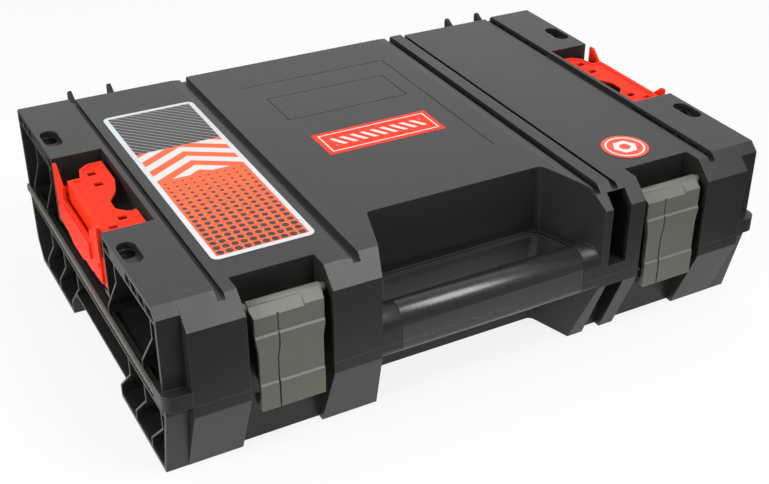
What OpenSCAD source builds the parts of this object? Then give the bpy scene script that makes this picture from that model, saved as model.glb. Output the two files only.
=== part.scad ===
// Hard tool case: ribbed lower shell, hinged lid, two drop latches and two
// sliding stack clips. Origin under the middle of the case, on the ground.
// +X to the right, +Z up, the handle and the latches face -Y.

/* [Overall] */
// Width over the parting flange
case_w = 450; // [400:1:540]
// Depth from the front blocks to the hinge ribs
case_d = 322; // [290:1:390]
// Height of the closed case
case_h = 126; // [112:1:152]
// Height of the parting plane
part_h = 59.5; // [49:0.5:72]

/* [Shells] */
// Wall of the two shells
wall = 3; // [2.4:0.1:3.6]
// Wall of the ribs in the end frames
rib = 1.8; // [1.2:0.1:2.4]
// Width of an end frame, outside the shell
end_w = 40; // [34:0.5:48]
// How far the lid flange stands out of the ends at the front corners
flange_out = 2.5; // [2:0.25:4]
// How far the webs of the end frames step back half way down
web_shift = 27; // [20:1:30]
// How far the hinge ribs stand out of the rear wall
rear_out = 16; // [14:0.5:20]
// Depth of the sloped top edge at the front
slope_d = 15; // [12:0.5:18]
// Height of the sloped top edge at the front
slope_h = 14; // [11:0.5:17]
// How far the front corners stand behind the front blocks
corner_set = 8.5; // [6:0.5:11]
// How far the lower front leans in at the ground
lean = 21; // [14:0.5:26]
// Width of the long grooves in the lid
groove_w = 5; // [4:0.5:6]
// Depth of the long grooves in the lid
groove_d = 4; // [3:0.5:5]
// How far the label panels lie below the top
panel_drop = 2; // [1:0.25:2.5]
// Height of the tongue that stands up into the lid
tongue_h = 4; // [3:0.5:6]
// Gap between the tongue and the lid
tongue_gap = 0.7; // [0.5:0.1:1]

/* [Latches] */
// Width of the recess that holds a latch
latch_bay = 55; // [50:1:62]
// Width of the latch head
latch_w = 47; // [42:0.5:49]
// Width of the latch panel
latch_panel_w = 42; // [36:0.5:42]
// Depth of the latch recess
latch_deep = 26; // [24:0.5:30]
// Width of the wall block beside a latch recess
tower_w = 33; // [30:0.5:38]
// Radius of the latch pin
latch_pin_r = 1.5; // [1.25:0.05:1.8]
// Height of the latch pin below the top
latch_pin_drop = 16; // [15:0.5:18]
// Height of the keeper under the parting plane
keeper_drop = 10; // [9:0.5:13]
// Step between two faces of the latch
latch_step = 1.2; // [0.8:0.1:1.6]

/* [Handle] */
// Depth of the hand recess behind the front
hand_deep = 54; // [50:1:60]
// Depth of the handle bar
bar_d = 24; // [21:0.5:27]
// Length of each end of the bar that is part of the shells
stub_l = 14; // [10:0.5:18]
// Width of the rim inside the hand recess
ledge = 6; // [4:0.5:8]
// Radius of the rear corners of the hand recess
hand_r = 5; // [3:0.5:8]

/* [Hinges] */
// Radius of the hinge pin
hinge_pin_r = 2; // [1.5:0.1:2.5]
// Radius of a hinge knuckle
knuckle_r = 5; // [4.5:0.1:5.5]
// Length of one hinge pin
hinge_pin_l = 26; // [24:0.5:30]
// Radial running clearance of every pin
pin_fit = 0.05; // [0.03:0.01:0.1]

/* [Stack clips] */
// Length of the bay for a stack clip
clip_bay = 110; // [100:1:134]
// Depth of the bay, inward from the end face
clip_bay_d = 34.5; // [32:0.5:35]
// Clearance round a stack clip
clip_fit = 0.3; // [0.25:0.05:0.5]
// Travel of a stack clip
clip_travel = 18; // [12:1:24]

/* [Labels] */
// Length of the label on the left panel
label_l = 217; // [180:1:240]
// Width of the label on the left panel
label_w = 68; // [56:1:74]
// Width of the badge plate
badge_w = 92; // [80:1:110]
// Depth of the badge plate
badge_d = 33; // [26:1:40]
// Radius of the round sticker
dot_r = 17; // [14:0.5:20]

/* [Hidden] */

black = [0.25, 0.25, 0.24];
grey = [0.45, 0.44, 0.41];
red = [0.95, 0.28, 0.12];
$fn = 48;
eps = 0.01;

// Planes, from the overall sizes
front = -case_d / 2;
rear = case_d / 2 - rear_out;
end_x = case_w / 2 - flange_out;
shell_x = end_x - end_w;
corner_y = front + corner_set;
lid_h = case_h - part_h;
top_edge = front + slope_d;
band_h = 8;
rear_edge = 2;

// Columns of the front, from the right end inwards
latch_set = 38;
block_w = 36;
block_d = 21;
hand_taper = 17;
latch_x = shell_x - latch_set;
bay_out = latch_x + latch_bay / 2;
bay_in = latch_x - latch_bay / 2;
block_x = bay_out + block_w;
block_y = front + block_d;
bay_y = front + latch_deep;
hand_x = bay_in - tower_w;
hand_y = front + hand_deep;
hand_back_x = hand_x - hand_taper;
fin_w = 6;
slot_w = 15;
slot_y = bay_y;

// Grooves of the lid, by their middle
groove_label = -hand_x - 12;
groove_mid = hand_x - 1;
groove_slot = hand_x + 13.5;

// Handle bar
bar_y = front + bar_d / 2;
bar_top_z = part_h + 10.5;
bar_low_z = part_h - 10;
bar_low_r = 6;
rim_h = 15.5;
grip_x = hand_x - stub_l;
grip_gap = 0.3;
tenon = 8;
tenon_l = 5;
tenon_fit = 0.15;

// Hinges
hinge_x = shell_x - 17.5;
hinge_y = rear + 7;
hinge_z = part_h + 2.5;
knuckle_gap = 0.2;
knuckle_mid = 4;
knuckle_out = 12;
hinge_fin_x = 15;
hinge_fin_t = 3;
hinge_clear = 13;

// Latches
latch_y = front + 11.5;
latch_z = case_h - latch_pin_drop;
latch_t = 3.6;
latch_low = part_h - 19.5;
keeper_z = part_h - keeper_drop - 3.5;
keeper_t = 3.5;
keeper_w = 28;
keeper_y = front + 8.5;
hook_y = front + 12.5;
hook_gap = 0.3;
pin_seat = 2.5;

// Stack clips
bay_x = end_x - clip_bay_d;
clip_y = clip_bay / 2 - clip_fit - 0.5;
clip_top = case_h - 5;
clip_low = case_h - 44;
ledge_low = clip_low - 3;
clip_t = 2;
pull_t = 1.5;
rail_x = end_x - 5;
rail_w = 3;
rail_d = 2;

// A profile in the Y-Z plane, extruded along X from x0 to x1
module along_x(x0, x1) {
    translate([x0, 0, 0]) rotate([90, 0, 90]) linear_extrude(x1 - x0) children();
}

// A profile in the X-Z plane, extruded along Y from y0 to y1
module along_y(y0, y1) {
    translate([0, y1, 0]) rotate([90, 0, 0]) linear_extrude(y1 - y0) children();
}

module box(low, high) {
    translate(low) cube(high - low);
}

// A pin or a bore along X
module rod(x0, x1, y, z, r) {
    translate([x0, y, z]) rotate([0, 90, 0]) cylinder(h = x1 - x0, r = r);
}

// A slot with round ends along Y, cut down from the top
module stadium(x, y, length, width, z0, z1) {
    flat = (length - width) / 2;
    for (s = [-1, 1]) translate([x, y + s * flat, z0]) cylinder(h = z1 - z0, d = width);
    box([x - width / 2, y - flat, z0], [x + width / 2, y + flat, z1]);
}

// The points of an outline moved inwards by d, for an outline that runs clockwise
function unit(v) = v / norm(v);
function edge_normal(p, i) = let (v = unit(p[(i + 1) % len(p)] - p[i])) [v[1], -v[0]];
function inset(p, d) = [for (i = [0:len(p) - 1])
    let (a = edge_normal(p, (i + len(p) - 1) % len(p)), b = edge_normal(p, i))
    p[i] + d * (a + b) / (1 + a * b)];

// The points of a round corner of radius r at b, between a and c
function fillet(a, b, c, r, n = 6) =
    let (u = unit(a - b), v = unit(c - b), half = acos(u * v) / 2,
        mid = b + unit(u + v) * r / sin(half), p = b + u * r / tan(half) - mid,
        q = b + v * r / tan(half) - mid)
    [for (i = [0:n]) mid + r * unit(p * (1 - i / n) + q * (i / n))];

// The rear side of the hand recess, from right to left, with round corners
function hand_back(front_x, front_y, back_x, back_y, r) = concat(
    fillet([front_x, front_y], [back_x, back_y], [-back_x, back_y], r),
    fillet([back_x, back_y], [-back_x, back_y], [-front_x, front_y], r));

// Outline of both shells from above, clockwise, with the hand recess between the towers
shell_plan = concat([
    [-shell_x, rear], [shell_x, rear], [shell_x, block_y], [block_x, block_y],
    [block_x, front], [bay_out, front], [bay_out, bay_y], [bay_in, bay_y],
    [bay_in, front], [hand_x, front]],
    hand_back(hand_x, front, hand_back_x, hand_y, hand_r),
    [[-hand_x, front], [-bay_in, front], [-bay_in, bay_y], [-bay_out, bay_y],
    [-bay_out, front], [-block_x, front], [-block_x, block_y], [-shell_x, block_y]]);

// Outline of the space inside: behind the latches and round the hand recess
room_x = shell_x - wall;
room_y = bay_y + wall;
room_rear = rear - wall;
hand_slant = (hand_x - hand_back_x) / hand_deep;
room_hand_x = hand_x - hand_slant * (room_y - front) + wall + 0.2;
room_back_x = hand_back_x + wall;
room_hand_y = hand_y + wall;
room_plan = [
    [-room_x, room_rear], [room_x, room_rear], [room_x, room_y], [room_hand_x, room_y],
    [room_back_x, room_hand_y], [-room_back_x, room_hand_y],
    [-room_hand_x, room_y], [-room_x, room_y]];

// Side profiles of the shells
lid_side = [
    [front, part_h], [front, case_h - slope_h], [top_edge, case_h], [rear - rear_edge, case_h],
    [rear, case_h - rear_edge], [rear, part_h]];
base_side = [
    [front, part_h], [front, part_h - band_h], [front + lean, 0], [rear - 1.5, 0],
    [rear, 1.5], [rear, part_h]];

// Top of the lid from the front: panels at their levels, with a soft dip at the grooves
mid_z = case_h - 0.5;
panel_z = case_h - panel_drop;
dip = 1.2;
dip_w = 9;
lid_top = [
    [-block_x - 1, part_h - 1], [-block_x - 1, case_h], [-shell_x - groove_w / 2, case_h],
    [-shell_x, panel_z], [groove_label - dip_w, panel_z], [groove_label, panel_z - dip],
    [groove_label, mid_z], [groove_mid - dip_w, mid_z], [groove_mid, mid_z - dip],
    [groove_mid, case_h], [groove_slot, case_h], [groove_slot, panel_z],
    [shell_x, panel_z], [shell_x + groove_w / 2, case_h], [block_x + 1, case_h],
    [block_x + 1, part_h - 1]];

// The long grooves of the lid, open at the sloped front edge, and the ridges under them
groove_z = case_h - groove_d - 1;
module grooves() {
    for (x = [-shell_x, groove_label, groove_mid, groove_slot, shell_x])
        box([x - groove_w / 2, top_edge - 6, groove_z], [x + groove_w / 2, rear + 1, case_h + 1]);
}

module groove_ridges() {
    for (x = [groove_label, groove_mid, groove_slot])
        box([x - groove_w / 2 - 2, room_y - 1, groove_z - 2.5],
            [x + groove_w / 2 + 2, room_rear + 1, groove_z + 1]);
}

// Closed ring between two insets of an outline
module ring(plan, outer, inner, z0, z1) {
    translate([0, 0, z0]) linear_extrude(z1 - z0) difference() {
        polygon(inset(plan, outer));
        polygon(inset(plan, inner));
    }
}

// Handle bar in profile
module bar_profile() {
    translate([bar_y, bar_top_z]) circle(bar_d / 2);
    translate([front, bar_low_z + bar_low_r]) square([bar_d, bar_top_z - bar_low_z - bar_low_r]);
    for (y = [front + bar_low_r, front + bar_d - bar_low_r])
        translate([y, bar_low_z + bar_low_r]) circle(bar_low_r);
    translate([front + bar_low_r, bar_low_z]) square([bar_d - 2 * bar_low_r, bar_low_r]);
}

// The ends of the bar that grow out of the towers, with a pocket for the grip's tenon
module bar_stubs(z0, z1) {
    intersection() {
        union() {
            along_x(-hand_x - 1, -grip_x) bar_profile();
            along_x(grip_x, hand_x + 1) bar_profile();
        }
        box([-case_w, front - 1, z0], [case_w, hand_y, z1]);
    }
}

module tenons(fit) {
    half = tenon / 2 + fit;
    for (z = [bar_low_z + 5, bar_top_z])
        box([-grip_x - tenon_l - fit, bar_y - half, z - 2 - fit],
            [grip_x + tenon_l + fit, bar_y + half, z + 2 + fit]);
}

// Rim round the hand opening, a step inside the recess
module hand_rim(z0, z1) {
    rim_front = front + bar_d - 1;
    outer_x = hand_x - hand_slant * (bar_d - 1);
    translate([0, 0, z0]) linear_extrude(z1 - z0) difference() {
        polygon([[-hand_back_x - 1, hand_y + 1], [hand_back_x + 1, hand_y + 1],
            [outer_x + 1, rim_front], [-outer_x - 1, rim_front]]);
        polygon(concat(hand_back(outer_x - ledge, rim_front - 1, hand_back_x - ledge,
            hand_y - ledge, hand_r + 1),
            [[-outer_x + ledge, rim_front - 1], [outer_x - ledge, rim_front - 1]]));
    }
}

// The open slot in the right tower
module tower_slot(z0, z1) {
    box([hand_x + fin_w, front - 1, z0], [hand_x + fin_w + slot_w, slot_y, z1]);
}

module hinge_bores() {
    for (s = [-1, 1])
        rod(s * hinge_x - knuckle_out - 1, s * hinge_x + knuckle_out + 1,
            hinge_y, hinge_z, hinge_pin_r + pin_fit);
}

// One knuckle on its arm; up is 1 on the lid and -1 on the base
module knuckle(x0, x1, up) {
    reach = knuckle_r * 0.56;
    arm_h = 8;
    rod(x0, x1, hinge_y, hinge_z, knuckle_r);
    z = [hinge_z + up * reach, hinge_z + up * (reach + arm_h)];
    along_x(x0, x1) polygon([[rear - 1, z[0]], [hinge_y + 4, z[0]], [hinge_y + 2, z[1]],
        [rear - 1, z[1] + up * 6]]);
}

module lid_fin(x) {
    edge = case_d / 2;
    along_x(x - hinge_fin_t / 2, x + hinge_fin_t / 2) polygon([
        [rear - 1, hinge_z + hinge_clear - 3], [edge - 2, hinge_z + hinge_clear],
        [edge, hinge_z + hinge_clear + 2], [edge, case_h - 3], [edge - 1.5, case_h - 1],
        [edge - 4, case_h - 2], [rear - 1, case_h - 9]]);
}

module base_fin(x) {
    edge = case_d / 2;
    along_x(x - hinge_fin_t / 2, x + hinge_fin_t / 2) polygon([
        [rear - 1, hinge_z - hinge_clear + 3], [edge - 2, hinge_z - hinge_clear],
        [edge, hinge_z - hinge_clear - 2], [edge, 4], [edge - 4, 0], [rear - 2, 0]]);
}

// Outside of the lid shell
module lid_form() {
    intersection() {
        translate([0, 0, part_h]) linear_extrude(lid_h) polygon(shell_plan);
        along_x(-case_w, case_w) polygon(lid_side);
        along_y(front - 1, rear + 1) polygon(lid_top);
    }
    hand_rim(part_h, part_h + rim_h);
    bar_stubs(part_h, case_h);
    for (s = [-1, 1]) {
        for (x = [-hinge_fin_x, hinge_fin_x]) lid_fin(s * hinge_x + x);
        knuckle(s * hinge_x - knuckle_mid, s * hinge_x + knuckle_mid, 1);
    }
    // Stop rib on the rear edge
    box([hand_x - 16, rear - 1, case_h - 16], [hand_x - 13, rear + 3.5, case_h - 3.5]);
}

// Fine frame lines sunk into the middle panel
line_w = 1.2;
line_d = 0.5;
module line(x0, y0, x1, y1) {
    box([x0 - line_w / 2, y0 - line_w / 2, mid_z - line_d],
        [x1 + line_w / 2, y1 + line_w / 2, mid_z + 1]);
}

module panel_lines() {
    right = groove_mid - 27;
    left = groove_label + 31;
    frame_y = rear - 42;
    inner_x = [left + 10, right - 14];
    inner_y = [rear - 108, rear - 68];
    line(left, frame_y, right, frame_y);
    line(right, front + 96, right, frame_y);
    for (y = inner_y) line(inner_x[0], y, inner_x[1], y);
    for (x = inner_x) line(x, inner_y[0], x, inner_y[1]);
}

// Hollows of the front blocks and towers: [inner x, outer x] of each, right side first
pocket_plan = [
    [bay_out + wall, block_x - wall], [hand_x + fin_w + slot_w + wall, bay_in - wall],
    [-block_x + wall, -bay_out - wall], [-bay_in + wall, -hand_x - wall]];
pocket_y = bay_y - wall;
pocket_top = case_h - 8 - wall / 2;
pocket_low = wall + 14;

module lid_pockets() {
    for (x = pocket_plan)
        along_x(x[0], x[1]) polygon([[front + wall, part_h - 1],
            [front + wall, case_h - slope_h - wall / 2], [front + 9, pocket_top],
            [pocket_y, pocket_top], [pocket_y, part_h - 1]]);
}

module lid_shell() color(black) difference() {
    union() {
        difference() {
            lid_form();
            translate([0, 0, part_h - 1]) linear_extrude(lid_h - wall - panel_drop + 1)
                polygon(room_plan);
            lid_pockets();
        }
        groove_ridges();
    }
    grooves();
    tower_slot(part_h + band_h, case_h - 5.5);
    tenons(tenon_fit);
    badge_seat(0.2);
    panel_lines();
    hinge_bores();
    for (s = [-1, 1])
        rod(s * latch_x - latch_bay / 2 - pin_seat, s * latch_x + latch_bay / 2 + pin_seat,
            latch_y, latch_z, latch_pin_r + pin_fit);
}

// Outside of the base shell, leaning in below its band
module base_form() {
    intersection() {
        linear_extrude(part_h) polygon(shell_plan);
        along_x(-case_w, case_w) polygon(base_side);
    }
    hand_rim(part_h - band_h, part_h);
    bar_stubs(0, part_h);
    for (s = [-1, 1]) {
        for (x = [-hinge_fin_x, hinge_fin_x]) base_fin(s * hinge_x + x);
        knuckle(s * hinge_x - knuckle_out, s * hinge_x - knuckle_mid - knuckle_gap, -1);
        knuckle(s * hinge_x + knuckle_mid + knuckle_gap, s * hinge_x + knuckle_out, -1);
    }
}

module base_pockets() {
    for (x = pocket_plan)
        along_x(x[0], x[1]) polygon([[front + wall, part_h + 1],
            [front + wall, part_h - band_h], [pocket_y - 6, pocket_low],
            [pocket_y, pocket_low], [pocket_y, part_h + 1]]);
}

module base_shell() color(black) difference() {
    union() {
        difference() {
            base_form();
            translate([0, 0, wall]) linear_extrude(part_h) polygon(room_plan);
        }
        ring(room_plan, -0.5, tongue_gap + 2, part_h - 8, part_h);
        ring(room_plan, tongue_gap, tongue_gap + 2, part_h - 1, part_h + tongue_h);
    }
    base_pockets();
    tower_slot(-1, part_h - band_h);
    tenons(tenon_fit);
    hinge_bores();
}

// A thin web of the end frames that steps rearwards half way down
module end_web(y0, z1, z0) {
    path = [[y0, z1], [y0, z1 - 14], [y0 + web_shift, z0 + 9], [y0 + web_shift, z0]];
    along_x(shell_x + 1, end_x) polygon(concat(
        [for (p = path) p - [rib / 2, 0]], [for (i = [3:-1:0]) path[i] + [rib / 2, 0]]));
}

// Outline of an end frame and of its hollow, which starts behind the plate on the shell
end_plate = 2.5;
end_plan = [
    [shell_x, rear], [end_x, rear], [end_x, corner_y], [block_x, corner_y],
    [block_x, block_y], [shell_x, block_y]];
end_pocket = [
    [shell_x + end_plate, rear - wall], [end_x + 1, rear - wall], [end_x + 1, corner_y + wall],
    [block_x + wall, corner_y + wall], [block_x + wall, block_y + wall],
    [shell_x + end_plate, block_y + wall]];

// Places of the stack clip bay and of the sockets on an end frame, on the right side
bead_out = 1.5;
bead_t = 3.5;
bead_h = 4.5;
flange_r = 8;
flange_h = 11;
socket_x = end_x - 8.5;
socket_y = clip_bay / 2 + 30;
socket_l = 26;
socket_w = 12;
socket_d = 5;
socket_hole_d = 8.5;
slope_in = wall * sqrt(slope_d * slope_d + slope_h * slope_h) / slope_d;
rib_z = case_h - 10.5;

module lid_end_body() {
    difference() {
        intersection() {
            translate([0, 0, part_h]) linear_extrude(lid_h) polygon(end_plan);
            along_x(0, case_w) polygon([[corner_y, part_h],
                [corner_y, case_h - slope_h * (top_edge - corner_y) / slope_d],
                [top_edge, case_h], [rear - rear_edge, case_h], [rear, case_h - rear_edge],
                [rear, part_h]]);
        }
        // The hollow keeps a full wall under the slope
        intersection() {
            translate([0, 0, part_h + wall]) linear_extrude(lid_h - 2 * wall) polygon(end_pocket);
            along_x(0, case_w) polygon([[corner_y, part_h],
                [corner_y, case_h - slope_in - (top_edge - corner_y) * slope_h / slope_d],
                [top_edge, case_h - slope_in],
                [top_edge + (slope_in - wall) * slope_d / slope_h, case_h - wall],
                [rear, case_h - wall], [rear, part_h]]);
        }
    }
    // Flange along the end and round the front corner
    difference() {
        union() {
            box([end_x - bead_t, corner_y, part_h], [end_x + bead_out, rear, part_h + bead_h]);
            box([block_x, front, part_h],
                [case_w / 2 - flange_r, corner_y + wall, part_h + flange_h]);
            box([end_x - 9, front + flange_r, part_h],
                [case_w / 2, corner_y + 12, part_h + flange_h]);
            translate([case_w / 2 - flange_r, front + flange_r, part_h])
                cylinder(h = flange_h, r = flange_r);
        }
        box([block_x + wall, corner_y + wall, part_h + wall],
            [end_x - bead_t + eps, rear - wall, part_h + flange_h + 1]);
    }
    intersection() {
        translate([0, 0, part_h]) linear_extrude(lid_h) polygon(end_plan);
        lid_end_ribs();
    }
}

// Slanted web between the top and the rib under it
truss_step = 13;
truss_lean = 5;
module truss(y) {
    along_x(shell_x + 1, end_x) polygon([[y, rib_z], [y + truss_lean, case_h - wall + 1],
        [y + truss_lean + rib, case_h - wall + 1], [y + rib, rib_z]]);
}

module lid_end_ribs() {
    // Horizontal rib under the top, with short slanted webs between
    for (y = [[corner_y + wall - 1, -clip_bay / 2 - 1], [clip_bay / 2 + 1, rear - wall + 1]])
        box([shell_x + 1, y[0], rib_z], [end_x, y[1], rib_z + rib]);
    for (y = [corner_y + 14 : truss_step : -clip_bay / 2 - 8]) truss(y);
    for (y = [clip_bay / 2 + 8 : truss_step : rear - wall - 8]) truss(y);
    for (y = [corner_y + 10, -clip_bay / 2 - 22, clip_bay / 2 + 10, rear - web_shift - 18])
        end_web(y, rib_z + 1, part_h + 1);
    // Walls of the clip bay, its rails and the ledges that the clip stands on
    box([shell_x + 1, -clip_bay / 2 - 2, ledge_low], [bay_x, clip_bay / 2 + 2, case_h - 1]);
    for (s = [-1, 1]) {
        y = s * (clip_bay / 2 + 1);
        box([bay_x - 1, y - 1, ledge_low], [end_x, y + 1, case_h - 1]);
        box([rail_x, s * clip_bay / 2 - rail_d, clip_low], [rail_x + rail_w,
            s * clip_bay / 2 + rail_d, clip_top - 4]);
        box([rail_x - 6, s * (clip_bay / 2 - 3) - 3, ledge_low],
            [end_x, s * (clip_bay / 2 - 3) + 3.5, clip_low]);
    }
    // Cups of the two sockets
    for (s = [-1, 1])
        box([socket_x - socket_w / 2 - 2, s * socket_y - socket_l / 2 - 2, rib_z],
            [end_x, s * socket_y + socket_l / 2 + 2, case_h - 1]);
}

module lid_end() color(black) difference() {
    lid_end_body();
    box([bay_x, -clip_bay / 2, case_h - wall - 1], [end_x + 1, clip_bay / 2, case_h + 1]);
    box([shell_x - 1, block_y - 1, case_h - groove_d],
        [shell_x + groove_w / 2, rear + 1, case_h + 1]);
    for (s = [-1, 1]) {
        stadium(socket_x, s * socket_y, socket_l, socket_w,
            case_h - socket_d, case_h + 1);
        translate([socket_x, s * socket_y + (socket_l - socket_w) / 2, case_h - socket_hole_d])
            cylinder(h = socket_hole_d + 0.5, d = socket_w - 1);
    }
}

// Lower edge of the front at a height, on the set-back corners
function corner_low(z) = corner_y + (lean - corner_set) * (1 - z / (part_h - band_h));

// Notch for the raised clip of the case below, its webs and the chamfer at the rear
notch_z = clip_travel + 7.5;
notch_y = clip_bay / 2 + 0.5;
front_pitch = (-corner_low(0) - notch_y) / 2.8;
rear_pitch = (rear - notch_y) / 2.8;
roof_shift = web_shift * (notch_z - 10) / (part_h - 33);
cut_d = 9;
cut_h = 16;
cut_wall = wall * sqrt(cut_d * cut_d + cut_h * cut_h) / cut_h;

module base_end_body() {
    difference() {
        intersection() {
            linear_extrude(part_h) polygon(end_plan);
            along_x(0, case_w) polygon([[corner_y, part_h], [corner_y, part_h - band_h],
                [corner_low(0), 0], [rear - cut_d, 0], [rear, cut_h], [rear, part_h]]);
        }
        intersection() {
            translate([0, 0, wall]) linear_extrude(part_h - 2 * wall) polygon(end_pocket);
            along_x(0, case_w) polygon([[corner_y + wall, part_h],
                [corner_y + wall, part_h - band_h], [corner_low(0) + wall, 0],
                [rear - cut_d - cut_wall, 0], [rear - cut_wall, cut_h],
                [rear, cut_h * (1 + cut_wall / cut_d)], [rear, part_h]]);
        }
    }
    intersection() {
        linear_extrude(part_h) polygon(end_plan);
        along_x(0, case_w) polygon([[corner_y, part_h], [corner_y, 0], [rear - cut_d, 0],
            [rear, cut_h], [rear, part_h]]);
        base_end_ribs();
    }
}

module base_end_ribs() {
    shelf_z = part_h - 10;
    box([shell_x + 1, corner_y + wall - 1, shelf_z], [end_x, rear - 1, shelf_z + rib]);
    for (i = [0:2]) {
        end_web(-notch_y - i * front_pitch - web_shift, shelf_z + 1, 1);
        end_web(notch_y + i * rear_pitch - web_shift, shelf_z + 1, 1);
    }
    // Roof of the notch for the clip of the case below, and its four catches
    box([shell_x + 1, -notch_y - roof_shift, notch_z],
        [end_x, notch_y - roof_shift, notch_z + rib]);
    for (y = [clip_bay / 2 - 17, clip_bay / 2 - 33]) for (s = [-1, 1])
        box([shell_x + 1, s * y - 3, 12], [shell_x + 7, s * y + 3, 18]);
}

module base_end() color(black) difference() {
    base_end_body();
    box([shell_x + end_plate, -notch_y + rib / 2, -1], [end_x + 1, notch_y - rib / 2, wall + eps]);
}

module grip(z0, z1) {
    color(black) intersection() {
        union() {
            along_x(-grip_x + grip_gap, grip_x - grip_gap) bar_profile();
            tenons(0);
        }
        box([-case_w, front - 1, z0], [case_w, hand_y, z1]);
    }
}

// Drop latch about x = 0: a bevelled head on trunnions, two stepped panels and the hook
module latch() {
    mid = front + latch_step;
    head = front + 2 * latch_step;
    edge_z = latch_z - 3.7;
    head_low = latch_z - 16;
    neck_z = latch_z - 18;
    panel_top = latch_z - 28;
    crown = [latch_y - 1.2, latch_z + 3.4];
    head_side = latch_w / 2 - 1;
    boss_r = 3.6;
    cut_x = -8;
    cut_w = 1.2;
    cut_low = latch_z - 34;
    cut_top = latch_z - 26;
    color(grey) difference() {
        union() {
            intersection() {
                along_x(-latch_w / 2, latch_w / 2) polygon([
                    [front, latch_low], [front, part_h - 1], [mid, part_h - 1 + latch_step],
                    [mid, head_low - latch_step], [head, head_low], [head, edge_z],
                    crown, [latch_y + 2.5, latch_z + 2.5],
                    [latch_y + 2.5, latch_z - 2.5], [head + latch_t, latch_z - 8],
                    [head + latch_t, latch_z - 15], [mid + latch_t, latch_z - 17],
                    [mid + latch_t, part_h], [front + latch_t, part_h - 2],
                    [front + latch_t, keeper_z - hook_gap], [hook_y, keeper_z - hook_gap],
                    [hook_y - 1.5, latch_low + 1], [front + 5, latch_low]]);
                along_y(front - 1, hook_y + 9) polygon([
                    [-latch_panel_w / 2, latch_low - 1], [-latch_panel_w / 2, panel_top],
                    [-head_side, neck_z], [-head_side, edge_z],
                    [-latch_w / 2, latch_z], [-latch_w / 2, case_h], [latch_w / 2, case_h],
                    [latch_w / 2, latch_z], [head_side, edge_z],
                    [head_side, neck_z], [latch_panel_w / 2, panel_top],
                    [latch_panel_w / 2, latch_low - 1]]);
            }
            rod(-latch_w / 2, latch_w / 2, latch_y, latch_z, boss_r);
            rod(-latch_bay / 2 + 0.5, latch_bay / 2 - 0.5, latch_y, latch_z, boss_r - 1);
            // The lower edge of the bevel steps up on the right
            along_x(head_side - 12.5, head_side) polygon([
                [head, edge_z - 1], [head, edge_z + 1.5], crown, [crown[0], edge_z - 1]]);
        }
        rod(-latch_w, latch_w, latch_y, latch_z, latch_pin_r + pin_fit);
        // The fine groove down the faces
        along_y(front - 1, mid + 1) polygon([[cut_x - 1.5, latch_low - 1],
            [cut_x - 1.5, cut_low], [cut_x, cut_top], [cut_x, head_low + 1],
            [cut_x + cut_w, head_low + 1], [cut_x + cut_w, cut_top],
            [cut_x - 1.5 + cut_w, cut_low], [cut_x - 1.5 + cut_w, latch_low - 1]]);
        box([cut_x, front - 1, head_low], [cut_x + cut_w, head + 0.8, edge_z + 0.5]);
    }
}

module latch_pin(x) {
    color("silver") rod(x - latch_bay / 2 - pin_seat + 0.3, x + latch_bay / 2 + pin_seat - 0.3,
        latch_y, latch_z, latch_pin_r);
}

// Shelf that the latch hook catches under, on the wall of the base
module keeper(x) {
    color(black) along_x(x - keeper_w / 2, x + keeper_w / 2) polygon([
        [bay_y, keeper_z], [keeper_y, keeper_z], [keeper_y, keeper_z + 2],
        [keeper_y + 1.5, keeper_z + keeper_t], [bay_y, keeper_z + keeper_t + 2]]);
}

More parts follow.
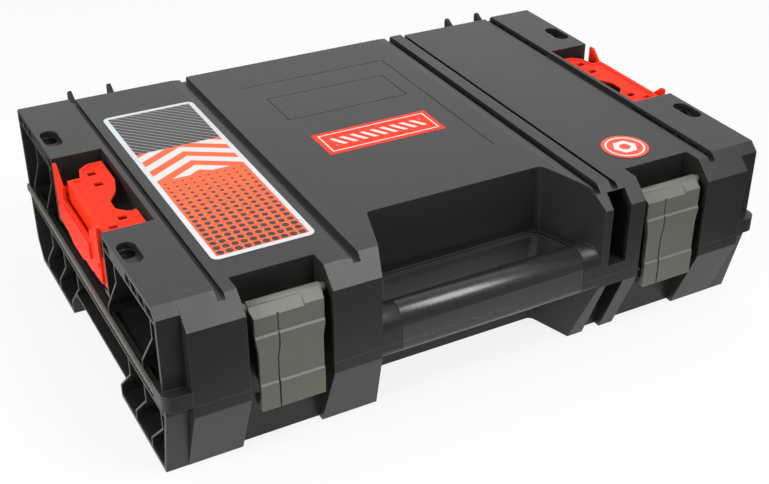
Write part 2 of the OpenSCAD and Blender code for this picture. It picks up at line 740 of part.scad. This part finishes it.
// Stack clip on the right side: a top plate on a wall that turns up at the ground into
// the outer skin with the pull panel, and a grooved cheek on each rail
module stack_clip() {
    out = case_w / 2;
    skin_x = out - pull_t - clip_t;
    wall_x = skin_x - 4;
    skin_y = clip_y - 6;
    plate_y = clip_bay / 2 - 8.5;
    plate_z = clip_top - 2.6;
    plate_x = bay_x + 3;
    arm_x = plate_x + 11;
    panel_y = skin_y - 18;
    tab_y = 29;
    pull_z = [clip_low + 1.5, clip_low + 12, clip_low + 23.5];
    groove_y = clip_bay / 2 - rail_d - clip_fit;
    window = [3, 2.5];
    skin = [[0, clip_low], [skin_y - 22, clip_low], [skin_y - 20, clip_low + 2],
        [skin_y - 16, clip_low + 1], [skin_y, clip_low + 3], [skin_y, case_h],
        [skin_y - 4, case_h], [skin_y - 14, case_h - 9], [panel_y, case_h - 10],
        [panel_y - 1, case_h - 19], [0, case_h - 19]];
    plate = [[plate_x, -plate_y], [wall_x + 1, -plate_y], [wall_x + 1, tab_y], [arm_x + 9, tab_y],
        [arm_x + 6, 41], [arm_x - 1, plate_y], [plate_x, plate_y]];
    color(red) difference() {
        union() {
            for (side = [0, 1]) mirror([0, side, 0]) {
                along_x(skin_x, skin_x + clip_t) polygon(skin);
                along_x(skin_x + clip_t - eps, out) polygon([[0, pull_z[0]],
                    [12, pull_z[0]], [panel_y, pull_z[1]], [panel_y, pull_z[2]],
                    [0, pull_z[2]]]);
                box([rail_x - 5, groove_y - 8, clip_low], [skin_x + eps, clip_y, clip_low + 22]);
                box([wall_x, 0, clip_low], [skin_x + eps, groove_y - 2, clip_low + 2.5]);
            }
            box([wall_x, -plate_y, clip_low], [wall_x + 2, plate_y, clip_low + 20]);
            box([wall_x, -plate_y, clip_low], [wall_x + 2, tab_y, clip_top]);
            // Plate with a low rim, its rear outer corner cut back
            translate([0, 0, plate_z]) linear_extrude(1.8) polygon(plate);
            translate([0, 0, plate_z]) linear_extrude(clip_top - plate_z) difference() {
                polygon(plate);
                polygon([[plate_x + 2, 2 - plate_y], [wall_x - 1, 2 - plate_y], [wall_x - 1, tab_y - 2],
                    [arm_x + 7.5, tab_y - 2], [arm_x + 4.5, 39.5], [arm_x - 1.5, plate_y - 2],
                    [plate_x + 2, plate_y - 2]]);
            }
        }
        // Finger notch in the inner edge, square windows, rail grooves and catch windows
        translate([plate_x, 0, plate_z - 1]) linear_extrude(5) polygon([[-1, 17], [0, 17],
            [4, 3], [11.5, -9], [11.5, -20], [6, -26], [0, -28], [-1, -28]]);
        for (p = [[arm_x, 33], [arm_x, 17], [arm_x, -33], [arm_x + 9, -plate_y + 4]])
            box([p[0] - window[0], p[1] - window[1], plate_z - 1],
                [p[0] + window[0], p[1] + window[1], clip_top + 1]);
        for (s = [-1, 1]) {
            box([rail_x - clip_fit, s * (groove_y + 3) - 3, clip_low - 1],
                [rail_x + rail_w + clip_fit, s * (groove_y + 3) + 3, clip_top + 1]);
            box([rail_x - 6, s * (skin_y - 4) - 2, clip_low + 13],
                [out + 1, s * (skin_y - 4) + 2, clip_low + 17]);
        }
    }
}

module hinge_pin(x) {
    color("silver") rod(x - hinge_pin_l / 2, x + hinge_pin_l / 2, hinge_y, hinge_z, hinge_pin_r);
}

// Badge plate on the middle panel, and the seat that it lies in
badge_x = (groove_label + groove_mid) / 2;
badge_y = -10;
badge_t = 1.2;
badge_seat_d = 1;

module badge_seat(fit) {
    box([badge_x - badge_w / 2 - fit, badge_y - badge_d / 2 - fit, mid_z - badge_seat_d],
        [badge_x + badge_w / 2 + fit, badge_y + badge_d / 2 + fit, mid_z + 1]);
}

module badge_plate() {
    color(red) box([badge_x - badge_w / 2, badge_y - badge_d / 2, mid_z - badge_seat_d],
        [badge_x + badge_w / 2, badge_y + badge_d / 2, mid_z - badge_seat_d + badge_t]);
}

// Printed films on the two lower panels
label_gap = 7;
label_x = -shell_x + groove_w / 2 + label_gap + label_w / 2;
label_y = -6;
label_r = 5;
sticker_t = 0.4;
dot_x = latch_x - 7;
dot_y = front + 52;

module label_sticker() {
    x = label_w / 2 - label_r;
    y = label_l / 2 - label_r;
    color("white") translate([label_x, label_y, panel_z]) {
        for (s = [-1, 1]) for (t = [-1, 1])
            translate([s * x, t * y, 0]) cylinder(h = sticker_t, r = label_r);
        box([-x - label_r, -y, 0], [x + label_r, y, sticker_t]);
        box([-x, -y - label_r, 0], [x, y + label_r, sticker_t]);
    }
}

module round_sticker() {
    color(red) translate([dot_x, dot_y, panel_z])
        cylinder(h = sticker_t, r = dot_r, $fn = 96);
}

base_shell();
mirror([1, 0, 0]) base_end();  // base_end_left
base_end();  // base_end_right
lid_shell();
mirror([1, 0, 0]) lid_end();  // lid_end_left
lid_end();  // lid_end_right
grip(0, part_h);  // grip_lower
grip(part_h, case_h);  // grip_upper
translate([-latch_x, 0, 0]) latch();  // latch_left
translate([latch_x, 0, 0]) latch();  // latch_right
latch_pin(-latch_x);  // latch_pin_left
latch_pin(latch_x);  // latch_pin_right
keeper(-latch_x);  // keeper_left
keeper(latch_x);  // keeper_right
mirror([1, 0, 0]) stack_clip();  // stack_clip_left
stack_clip();  // stack_clip_right
hinge_pin(-hinge_x);  // hinge_pin_left
hinge_pin(hinge_x);  // hinge_pin_right
badge_plate();
label_sticker();
round_sticker();
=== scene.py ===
"""Hard tool case on a pale floor: finishes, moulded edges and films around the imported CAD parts."""

from math import radians

import bmesh
import bpy
from mathutils import Matrix, Vector


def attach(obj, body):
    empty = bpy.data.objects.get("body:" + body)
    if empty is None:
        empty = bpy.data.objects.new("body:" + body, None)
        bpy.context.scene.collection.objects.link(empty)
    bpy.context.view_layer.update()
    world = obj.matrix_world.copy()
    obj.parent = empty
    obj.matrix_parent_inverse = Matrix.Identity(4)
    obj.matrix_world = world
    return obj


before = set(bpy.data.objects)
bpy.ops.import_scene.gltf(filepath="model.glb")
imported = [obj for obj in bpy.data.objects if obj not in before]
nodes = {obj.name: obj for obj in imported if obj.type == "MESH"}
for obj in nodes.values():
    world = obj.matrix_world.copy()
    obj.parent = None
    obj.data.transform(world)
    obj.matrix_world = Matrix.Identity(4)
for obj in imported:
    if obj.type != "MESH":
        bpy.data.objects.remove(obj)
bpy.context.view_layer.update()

# --- Photographer's table ---------------------------------------------------
# The case stands on a pale sweep, seen from its front left corner and from above,
# under a large soft box over the handle, a small one at its left end and a white tent.

scene = bpy.context.scene
scene.view_settings.view_transform = "Standard"

camera_data = bpy.data.cameras.new("camera")
camera_data.lens = 58.38
camera_data.sensor_width = 36
camera_data.shift_x = -0.0694
camera_data.shift_y = -0.0119
camera_data.clip_end = 20
camera = bpy.data.objects.new("camera", camera_data)
standpoint = (-0.3811, -0.7181, 0.5215)
right = Vector((0.86373, -0.50343, 0.02304))
up = Vector((0.24156, 0.45369, 0.8578))
back = right.cross(up)
turned_camera = Matrix((right, up, back)).transposed().to_4x4()
camera.matrix_world = Matrix.Translation(standpoint) @ turned_camera
scene.collection.objects.link(camera)
scene.camera = camera


class Wire:
    """A shader socket that takes part in sums and comparisons as a number does."""

    def __init__(self, finish, socket):
        self.finish, self.socket = finish, socket

    def math(self, operation, *others, clamp=False):
        settings = {"operation": operation, "use_clamp": clamp}
        return self.finish.node("Math", settings, [self, *others])

    def __add__(self, other):
        return self.math("ADD", other)

    def __mul__(self, other):
        return self.math("MULTIPLY", other)

    def __sub__(self, other):
        return self.math("SUBTRACT", other)

    def __rsub__(self, other):
        return self.finish.node("Math", {"operation": "SUBTRACT"}, [other, self])

    def __gt__(self, other):
        return self.math("GREATER_THAN", other)

    def __lt__(self, other):
        return self.math("LESS_THAN", other)

    def __abs__(self):
        return self.math("ABSOLUTE")

    __radd__ = __add__
    __rmul__ = __mul__


class Finish:
    """One material: its nodes are added by kind, and its shader's sockets are set by name."""

    def __init__(self, name, **constants):
        self.material = bpy.data.materials.new(name)
        self.material.use_nodes = True
        self.tree = self.material.node_tree
        self.surface = self.tree.nodes["Principled BSDF"]
        self.set(**constants)

    def feed(self, socket, value):
        if isinstance(value, Wire):
            self.tree.links.new(value.socket, socket)
        else:
            socket.default_value = value

    def set(self, **sockets):
        for name, value in sockets.items():
            self.feed(self.surface.inputs[name.replace("_", " ")], value)

    def node(self, kind, settings=None, sockets=(), out=0):
        made = self.tree.nodes.new("ShaderNode" + kind)
        for name, value in (settings or {}).items():
            setattr(made, name, value)
        pairs = sockets.items() if isinstance(sockets, dict) else enumerate(sockets)
        for key, value in pairs:
            self.feed(made.inputs[key], value)
        return Wire(self, made.outputs[out])

    def place(self):
        return self.node("TexCoord", out="Object")

    def split(self, vector):
        return [self.node("SeparateXYZ", None, [vector], out) for out in range(3)]

    def noise(self, scale, detail=2.0, at=None):
        sockets = {"Vector": at or self.place(), "Scale": scale, "Detail": detail}
        return self.node("TexNoise", None, sockets)

    def mix(self, factor, low, high):
        """Mixes two colours. The node's colour sockets share their names with other types."""
        made = self.tree.nodes.new("ShaderNodeMix")
        made.data_type = "RGBA"
        factor_in, low_in, high_in, colour_out = 0, 6, 7, 2
        for socket, value in ((factor_in, factor), (low_in, low), (high_in, high)):
            if isinstance(value, tuple) and len(value) == 3:
                value = (*value, 1)
            self.feed(made.inputs[socket], value)
        return Wire(self, made.outputs[colour_out])

    def bump(self, height, strength, distance, normal):
        return self.node("Bump", None, {
            "Height": height, "Strength": strength, "Distance": distance, "Normal": normal})

    def stretched(self, x, y, z):
        """Object coordinates scaled along each axis, for streaks and ovals."""
        return self.node("VectorMath", {"operation": "MULTIPLY"}, [self.place(), (x, y, z)])

    def edges(self, radius, gain):
        """Rises to 1 where the surface turns within the radius."""
        rounded = self.node("Bevel", {"samples": 4}, {"Radius": radius})
        flat = self.node("NewGeometry", out="Normal")
        turn = self.node("VectorMath", {"operation": "DOT_PRODUCT"}, [rounded, flat], "Value")
        return (1 - turn).math("MULTIPLY", gain, clamp=True)


# The sweep is white to the camera. Near the case it carries painted light: its colour is raised
# there, a painted pool of light, and it glows to glossy rays, a painted reflection. Distance is
# taken in an oval round the case, and the painted light falls off from 0.21 m to 0.28 m along Y,
# which is from start / fall to (start + 1) / fall.
oval, fall, start = 0.62, 14.3, 3
far_shade, near_gain = 0.16, 0.66
camera_share, gloss_share = 0.86, 0.62
floor_finish = Finish("floor_paint", Roughness=0.9)
seen = floor_finish.node("LightPath", out="Is Camera Ray")
away = floor_finish.node(
    "VectorMath", {"operation": "LENGTH"}, [floor_finish.stretched(oval, 1, 1)], "Value")
lit = 1 - (fall * away - start).math("MULTIPLY", 1, clamp=True)
glint = floor_finish.node("LightPath", out="Is Glossy Ray")
# Painted pool of light: the floor's colour is raised near the case, except to the camera
floor_finish.set(Base_Color=far_shade + near_gain * lit.math("MAXIMUM", seen))
white_and_painted_glow = floor_finish.tree.nodes.new("ShaderNodeEmission")
mixed = floor_finish.tree.nodes.new("ShaderNodeMixShader")
# Painted reflection: near the case the floor glows to glossy rays; to the camera it is plain white
floor_finish.feed(mixed.inputs[0], seen * camera_share + glint * lit * gloss_share)
floor_finish.tree.links.new(floor_finish.surface.outputs[0], mixed.inputs[1])
floor_finish.tree.links.new(white_and_painted_glow.outputs[0], mixed.inputs[2])
floor_finish.tree.links.new(
    mixed.outputs[0], floor_finish.tree.nodes["Material Output"].inputs["Surface"])

floor_mesh = bmesh.new()
bmesh.ops.create_grid(floor_mesh, x_segments=1, y_segments=1, size=4)
floor_data = bpy.data.meshes.new("floor")
floor_mesh.to_mesh(floor_data)
floor_data.materials.append(floor_finish.material)
floor = bpy.data.objects.new("floor", floor_data)
floor.location.z = -0.0002
scene.collection.objects.link(floor)

# The tent is bright behind the case and dim in front, and white to the camera.
tent = bpy.data.worlds.new("tent")
tent.use_nodes = True
links, sky = tent.node_tree.links, tent.node_tree.nodes["Background"]
way = tent.node_tree.nodes.new("ShaderNodeTexCoord")
axes = tent.node_tree.nodes.new("ShaderNodeSeparateXYZ")
rise = tent.node_tree.nodes.new("ShaderNodeMapRange")
path = tent.node_tree.nodes.new("ShaderNodeLightPath")
level = tent.node_tree.nodes.new("ShaderNodeMix")
factor_in, tent_in, camera_in = 0, 2, 3
for key, value in (("From Min", -0.1), ("From Max", 0.7), ("To Min", 0.24), ("To Max", 1.14)):
    rise.inputs[key].default_value = value
level.inputs[camera_in].default_value = 1
links.new(way.outputs["Generated"], axes.inputs[0])
links.new(axes.outputs["Y"], rise.inputs["Value"])
links.new(path.outputs["Is Camera Ray"], level.inputs[factor_in])
links.new(rise.outputs[0], level.inputs[tent_in])
links.new(level.outputs[0], sky.inputs["Strength"])
sky.inputs["Color"].default_value = (1, 1, 1, 1)
scene.world = tent


def soft_box(name, place, size, power):
    """A square lamp that is turned towards the middle of the case."""
    lamp = bpy.data.lights.new(name, "AREA")
    lamp.shape, lamp.size, lamp.energy = "SQUARE", size, power
    made = bpy.data.objects.new(name, lamp)
    made.location = place
    middle = Vector((0, 0, 0.06))
    made.rotation_euler = (middle - Vector(place)).to_track_quat("-Z", "Y").to_euler()
    scene.collection.objects.link(made)


soft_box("key", place=(0.45, -0.85, 1.35), size=0.8, power=17)
soft_box("end_light", place=(-1.2, -0.3, 0.5), size=0.5, power=10)

# --- Shells -----------------------------------------------------------------
# Upper and lower shell, their end frames and the keepers are injection moulded from
# charcoal polypropylene with a fine spark-eroded grain, slightly rubbed at the edges, which are
# painted lighter, partly as wear and partly as a painted highlight.


def soften(node, width, segments=2):
    """Breaks the mould edges of a CAD part, which comes as loose triangles.

    The width is the most an edge gets, because the clamp holds all edges of a part to the
    room at its tightest spot. Shells, latches and clips get a few hundredths of a millimetre
    at most, and their edges look round through the normal in moulded(). The others get all
    of it.
    """
    part = nodes[node]
    weld = part.modifiers.new("weld", "WELD")
    weld.merge_threshold = 3e-5
    flat = part.modifiers.new("flat", "DECIMATE")
    flat.decimate_type = "DISSOLVE"
    flat.angle_limit = 0.002
    edge = part.modifiers.new("edge", "BEVEL")
    edge.width = width
    edge.segments = segments
    edge.limit_method = "ANGLE"
    edge.angle_limit = radians(25)
    edge.harden_normals = True
    edge.use_clamp_overlap = True
    close = part.modifiers.new("close", "WELD")
    close.merge_threshold = 5e-6


def coat(node, finish):
    part = nodes[node]
    part.data.materials.clear()
    part.data.materials.append(finish.material)


def moulded(name, colour, rough, grain=0.25, wear_and_highlight=0.05, shine=0.5, print_on=None):
    """Moulded plastic: cloudy colour and gloss, streaks, a fine grain, round edges rubbed and painted
    lighter as a highlight.
    """
    finish = Finish(name, Specular_IOR_Level=shine)
    cloud = finish.noise(scale=9, detail=3)
    fine = finish.noise(scale=1400)
    streak = finish.noise(scale=1, detail=3, at=finish.stretched(260, 30, 130))
    # Lighter edges: partly rubbed wear, partly a painted highlight along them
    rubbed_and_highlit = finish.edges(radius=0.0012, gain=5) * finish.noise(scale=70, detail=3)
    turned = finish.node("Bevel", {"samples": 6}, {"Radius": 0.0005})
    dark = tuple(c * 0.82 for c in colour)
    light = tuple(min(1, c * 1.16) for c in colour)
    worn_and_highlit = tuple(min(1, c + wear_and_highlight) for c in colour)
    body = finish.mix(cloud, dark, light)
    if print_on:
        body = print_on(finish, body)
    finish.set(
        Base_Color=finish.mix(rubbed_and_highlit, body, worn_and_highlit),
        Roughness=rough - 0.08 + 0.09 * cloud + 0.05 * fine + 0.05 * streak - 0.06 * rubbed_and_highlit,
        Normal=finish.bump(fine + 0.4 * streak, strength=grain, distance=0.0001, normal=turned))
    return finish


shell = moulded("charcoal_polypropylene", (0.016, 0.016, 0.015), rough=0.4)
for node in ("base_shell", "base_end_left", "base_end_right", "lid_shell", "lid_end_left",
             "lid_end_right", "keeper_left", "keeper_right"):
    coat(node, shell)
for node in ("base_shell", "lid_shell", "keeper_left", "keeper_right"):
    soften(node, 0.0005)
# The base's end frames take one narrow chamfer. The strips of the lid's end frames are too
# narrow even for that and would fold over, so those get none.
for node in ("base_end_left", "base_end_right"):
    soften(node, 0.00018, segments=1)

# --- Strip teeth ------------------------------------------------------------
# A row of fine teeth on the outer top edge of each strip along the lid's ends, moulded in
# one with the lid. Their pale colour is a painted highlight, for the light they catch where they
# stand proud of the ends.

# Painted highlight: the teeth get a colour far paler than the shell's
painted_highlight_shell = moulded("painted_highlight_polypropylene", (0.14, 0.132, 0.115), rough=0.5, wear_and_highlight=0.08)


def fix_to_lid(mesh, name, finish):
    """Makes a piece that is moulded in one with the lid."""
    bmesh.ops.recalc_face_normals(mesh, faces=mesh.faces)
    data = bpy.data.meshes.new(name)
    mesh.to_mesh(data)
    data.materials.append(finish.material)
    made = bpy.data.objects.new(name, data)
    scene.collection.objects.link(made)
    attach(made, "lid")


def comb(name, side):
    """A zigzag outline along the strip, extruded upwards."""
    inner, root, tip = 0.2226, 0.2241, 0.2248
    front, rear, bottom, height = -0.146, 0.142, 0.0604, 0.0042
    first, pitch, count = -0.1445, 0.003, 96
    crest_start, crest_end, tooth_end = 0.0005, 0.0017, 0.0022
    outline = [(inner, front), (inner, rear)]
    for i in reversed(range(count)):
        tooth = first + i * pitch
        outline += [(root, tooth + tooth_end), (tip, tooth + crest_end),
                    (tip, tooth + crest_start), (root, tooth)]
    mesh = bmesh.new()
    foot = mesh.faces.new([mesh.verts.new((side * x, y, bottom)) for x, y in outline])
    raised = bmesh.ops.extrude_face_region(mesh, geom=[foot])["geom"]
    bmesh.ops.translate(mesh, vec=(0, 0, height),
                        verts=[v for v in raised if isinstance(v, bmesh.types.BMVert)])
    fix_to_lid(mesh, name, painted_highlight_shell)


comb("strip_teeth_left", -1)
comb("strip_teeth_right", 1)

# --- Recess bead ------------------------------------------------------------
# A fine raised line that runs round the ledge of the hand recess. It is moulded in one with
# the lid, of the same charcoal polypropylene.


def recess_bead(name):
    """A small ridge swept along the ledge: left side, rounded corner, back, corner, right side."""
    ledge, turn, corner_steps = 0.075, 0.007, 6
    front, corner = Vector((0.0728, -0.138)), Vector((0.063, -0.111))
    profile = ((-0.0006, -0.0003), (-0.0004, 0.0006), (0.0004, 0.0006), (0.0006, -0.0003))
    start = corner + (front - corner).normalized() * turn
    end = corner - Vector((turn, 0))
    path = [front]
    for i in range(corner_steps + 1):
        t = i / corner_steps
        path.append(start * (1 - t) ** 2 + corner * 2 * t * (1 - t) + end * t * t)
    path += [Vector((-p.x, p.y)) for p in reversed(path)]
    mesh = bmesh.new()
    rows = []
    for i, point in enumerate(path):
        along = (path[min(i + 1, len(path) - 1)] - path[max(i - 1, 0)]).normalized()
        across = Vector((-along.y, along.x))
        rows.append([mesh.verts.new((*(point + across * out), ledge + rise))
                     for out, rise in profile])
    sides = len(profile)
    for near, far in zip(rows, rows[1:]):
        for i in range(sides):
            following = (i + 1) % sides
            mesh.faces.new((near[i], near[following], far[following], far[i]))
    mesh.faces.new(rows[0])
    mesh.faces.new(rows[-1][::-1])
    fix_to_lid(mesh, name, shell)


recess_bead("recess_bead")

# --- Handle -----------------------------------------------------------------
# The bar is moulded in the same plastic as the shells, in an upper and a lower half,
# and is polished by hands. Faint seams of the mould's sliding inserts run round it.

# Seams and prints are laid out in millimetres, and Object coordinates are in metres
millimetres = 1000


def insert_seams(finish, body):
    """A thin dark line round the bar every 20 mm."""
    half_pitch, half_width = 10, 0.35
    along = millimetres * finish.split(finish.place())[0]
    seam = (along + half_pitch).math("PINGPONG", half_pitch) < half_width
    return finish.mix(0.6 * seam, body, (0.003, 0.003, 0.003))


bar = moulded("handle_polypropylene", (0.02, 0.02, 0.0195), rough=0.27, grain=0.15, wear_and_highlight=0.03,
              shine=0.8, print_on=insert_seams)
for node in ("grip_lower", "grip_upper"):
    coat(node, bar)
    soften(node, 0.0003)

# --- Latches ----------------------------------------------------------------
# Two drop latches, injection moulded from a warm grey plastic. Each swings on a pin in
# the lid, and its hook snaps under a keeper on the base.

latch = moulded("grey_latch_plastic", (0.155, 0.152, 0.132), rough=0.45, wear_and_highlight=0.08)
for node in ("latch_left", "latch_right"):
    coat(node, latch)
    soften(node, 0.0004)

# --- Stack clips ------------------------------------------------------------
# One clip in the bay at each end of the lid, injection moulded from a red-orange plastic.
# It slides up on two rails into the notch of the case above.

signal = moulded("signal_red_plastic", (0.95, 0.03, 0.004), rough=0.45, grain=0.1, wear_and_highlight=0.06,
                 shine=0.1)
for node in ("stack_clip_left", "stack_clip_right"):
    coat(node, signal)
    soften(node, 0.0003)

# --- Pins -------------------------------------------------------------------
# The pins of the lid hinges and of the latches are cut from drawn steel wire. They sit in
# bores of the case's own plastic, so the hinge pins are hidden and the latch pins show ends.

steel = Finish("drawn_steel", Metallic=1.0, Base_Color=(0.52, 0.52, 0.51, 1))
steel.set(Roughness=0.3 + 0.1 * steel.noise(scale=600))
for node in ("hinge_pin_left", "hinge_pin_right", "latch_pin_left", "latch_pin_right"):
    coat(node, steel)

# --- Badge plate ------------------------------------------------------------
# A red-orange moulded plate, snapped into its seat and printed in pale ink with a plain
# border and a band of slanted stripes.


def spot(finish, x, y):
    """Millimetres from a point of the top, along X and along Y."""
    across, along, _ = finish.split(finish.place())
    return ((across - x / millimetres) * millimetres,
            (along - y / millimetres) * millimetres)


def patch(u, v, half_wide, half_long, at=0):
    """1 inside a rectangle of the given half sizes, whose middle lies at along v."""
    return (abs(u) < half_wide) * (abs(v - at) < half_long)


def stripes(distance, pitch, share):
    """1 in even stripes, each taking a share of the pitch."""
    return distance.math("PINGPONG", pitch / 2) < pitch / 2 * share


def badge_print(finish, body):
    u, v = spot(finish, x=-6.5, y=-10)
    half_wide, half_long, line, lean = 42.5, 13, 1.1, 0.6
    inside = patch(u, v, half_wide - line, half_long - line)
    border = patch(u, v, half_wide, half_long) - inside
    band = patch(u, v, half_wide=36, half_long=5.5) * stripes(u + lean * v, pitch=8, share=0.45)
    return finish.mix(border + band, body, (0.8, 0.74, 0.7))


badge = moulded("badge_red_plastic", (0.92, 0.05, 0.02), rough=0.45, grain=0.08, shine=0.1,
                print_on=badge_print)
coat("badge_plate", badge)
soften("badge_plate", 0.0003)

# --- Label ------------------------------------------------------------------
# A printed film with round corners, stuck on the left panel, with a pale border. From the
# rear: a dark field with fine lines, a belt of chevrons, an orange field with dark dots.


def label_print(finish, body):
    u, v = spot(finish, x=-139, y=-6)
    half_wide, half_long = 30.5, 105
    ink, grey, orange, pale = (
        (0.032, 0.03, 0.03), (0.3, 0.29, 0.28), (0.95, 0.115, 0.02), (0.72, 0.72, 0.7))
    paint = finish.mix(patch(u, v, half_wide, half_long), body, orange)
    # Dots on a square pitch, whose squared radius shrinks from the front to the rear
    half_pitch, largest, shrink = 3, 6.2, 0.055
    across = (u + half_pitch).math("PINGPONG", half_pitch)
    along = v.math("PINGPONG", half_pitch)
    dots = across * across + along * along < largest - shrink * (v + half_long)
    paint = finish.mix(dots * patch(u, v, half_wide, half_long=52, at=-53), paint, ink)
    # Fine lines at the rear
    hatched = finish.mix(stripes(u + v, pitch=6, share=0.22), ink, grey)
    paint = finish.mix(patch(u, v, half_wide, half_long=31, at=74), paint, hatched)
    # Chevrons in the belt between them
    lean = 0.6
    chevrons = finish.mix(stripes(v + lean * abs(u), pitch=15, share=0.5), pale, orange)
    return finish.mix(patch(u, v, half_wide, half_long=22, at=21), paint, chevrons)


label = moulded("label_film", (0.66, 0.7, 0.73), rough=0.3, grain=0.01, shine=0.3,
                print_on=label_print)
coat("label_sticker", label)

# --- Round sticker ----------------------------------------------------------
# A round red-orange film, stuck in front of the right latch and printed in pale ink with a
# ring round a plain nut.


def dot_print(finish, body):
    u, v = spot(finish, x=137.5, y=-109)
    ring_inner, ring_outer, nut_half, bore = 13, 14.4, 8, 4.2
    cosine, sine = 0.866, 0.5
    squared = u * u + v * v
    # Distance from the middle to the side of a hexagon
    flats = abs(v).math("MAXIMUM", cosine * abs(u) + sine * abs(v))
    ring = (squared > ring_inner * ring_inner) * (squared < ring_outer * ring_outer)
    nut = (flats < nut_half) * (squared > bore * bore)
    return finish.mix(ring + nut, body, (0.86, 0.76, 0.73))


dot = moulded("sticker_film", (0.93, 0.075, 0.035), rough=0.33, grain=0.01, shine=0.25,
              print_on=dot_print)
coat("round_sticker", dot)
